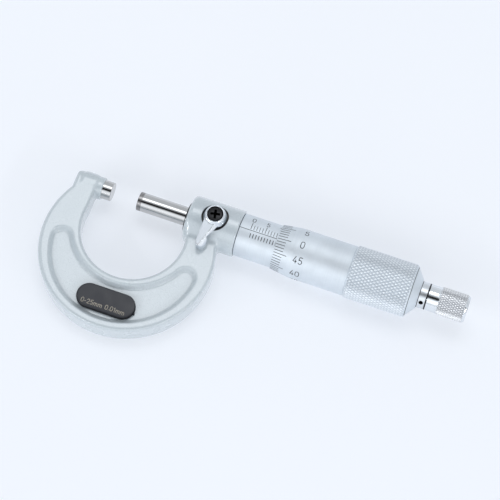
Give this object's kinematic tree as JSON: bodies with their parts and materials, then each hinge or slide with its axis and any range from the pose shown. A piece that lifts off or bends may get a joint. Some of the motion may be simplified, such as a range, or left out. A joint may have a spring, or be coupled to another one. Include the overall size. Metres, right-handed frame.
{
  "type": "outside micrometer",
  "caption": "Outside micrometer with a C-shaped frame, graduated sleeve and thimble, lever spindle lock and ratchet stop.",
  "frame": {"origin": "centre of the anvil's measuring face", "axes": "+X along the spindle from the anvil face towards the ratchet, the C-frame hangs towards -Y, +Z out of the side with the nameplate and the lock lever"},
  "size_m": [0.1432, 0.0579, 0.0196],
  "materials": {
    "frame": "pale grey-blue speckled enamel",
    "anvil": "ground and lapped",
    "nameplate": "black, pale print",
    "inner_sleeve": "blackened at the end",
    "adjusting_nut": "turned",
    "sleeve": "satin chrome with dark graduations",
    "spindle_tip": "hard metal, ground",
    "spindle": "ground, polished",
    "thimble": "satin chrome, diamond knurl",
    "thimble_cap": "satin chrome",
    "ratchet_body": "polished",
    "ratchet_keys": "plain",
    "ratchet_disc": "hardened",
    "ratchet_spring": "spring wire",
    "ratchet_washer": "plain",
    "ratchet_screw": "plain",
    "ratchet_knob": "satin chrome, diamond knurl, polished ring",
    "ratchet_end_plug": "satin",
    "lock_seat": "black",
    "lock_shoe": "plain",
    "lock_stud": "plain",
    "lock_lever": "satin chrome with a bright rim",
    "lock_screw": "black oxide"
  },
  "bodies": {
    "frame": {"frame": "frame", "anvil": "anvil", "nameplate": "nameplate", "inner_sleeve": "inner_sleeve", "adjusting_nut": "adjusting_nut", "lock_seat": "lock_seat"},
    "sleeve": {"sleeve": "sleeve"},
    "feed": {"spindle_tip": "spindle_tip"},
    "thimble": {"spindle": "spindle", "thimble": "thimble", "thimble_cap": "thimble_cap", "ratchet_body": "ratchet_body", "ratchet_keys": "ratchet_keys", "ratchet_washer": "ratchet_washer", "ratchet_screw": "ratchet_screw"},
    "disc": {"ratchet_disc": "ratchet_disc", "ratchet_spring": "ratchet_spring"},
    "knob": {"ratchet_knob": "ratchet_knob", "ratchet_end_plug": "ratchet_end_plug"},
    "shoe": {"lock_shoe": "lock_shoe"},
    "lever": {"lock_lever": "lock_lever", "lock_stud": "lock_stud", "lock_screw": "lock_screw"}
  },
  "joints": [
    {"name": "sleeve_zero_adjust", "type": "hinge", "parent": "frame", "child": "sleeve", "pos_m": [0.05, 0, 0], "axis": [1, 0, 0], "range_deg": [-10, 10]},
    {"name": "spindle_feed", "type": "slide", "parent": "frame", "child": "feed", "axis": [1, 0, 0], "range_m": [-0.0095, 0.0155]},
    {"name": "thimble_turn", "type": "hinge", "parent": "feed", "child": "thimble", "pos_m": [0.0095, 0, 0], "axis": [1, 0, 0], "range_deg": [-6840, 11160]},
    {"name": "ratchet_click", "type": "slide", "parent": "thimble", "child": "disc", "axis": [1, 0, 0], "range_m": [0, 0.00045], "stiffness_N_per_m": 1200, "springref_m": -0.0004, "deforming": ["ratchet_spring"]},
    {"name": "ratchet_knob_turn", "type": "hinge", "parent": "thimble", "child": "knob", "pos_m": [0.12, 0, 0], "axis": [1, 0, 0], "continuous": true},
    {"name": "lock_shoe_travel", "type": "slide", "parent": "frame", "child": "shoe", "axis": [0, 0, 1], "range_m": [-0.000111, 0.0000416]},
    {"name": "lock_lever_turn", "type": "hinge", "parent": "shoe", "child": "lever", "pos_m": [0.0369, 0, 0.0064], "axis": [0, 0, 1], "range_deg": [-40, 15]}
  ],
  "couplings": [
    {"joint": "thimble_turn", "follows": "spindle_feed", "rad_per_m": 12566},
    {"joint": "lock_lever_turn", "follows": "lock_shoe_travel", "rad_per_m": 6283.2}
  ]
}
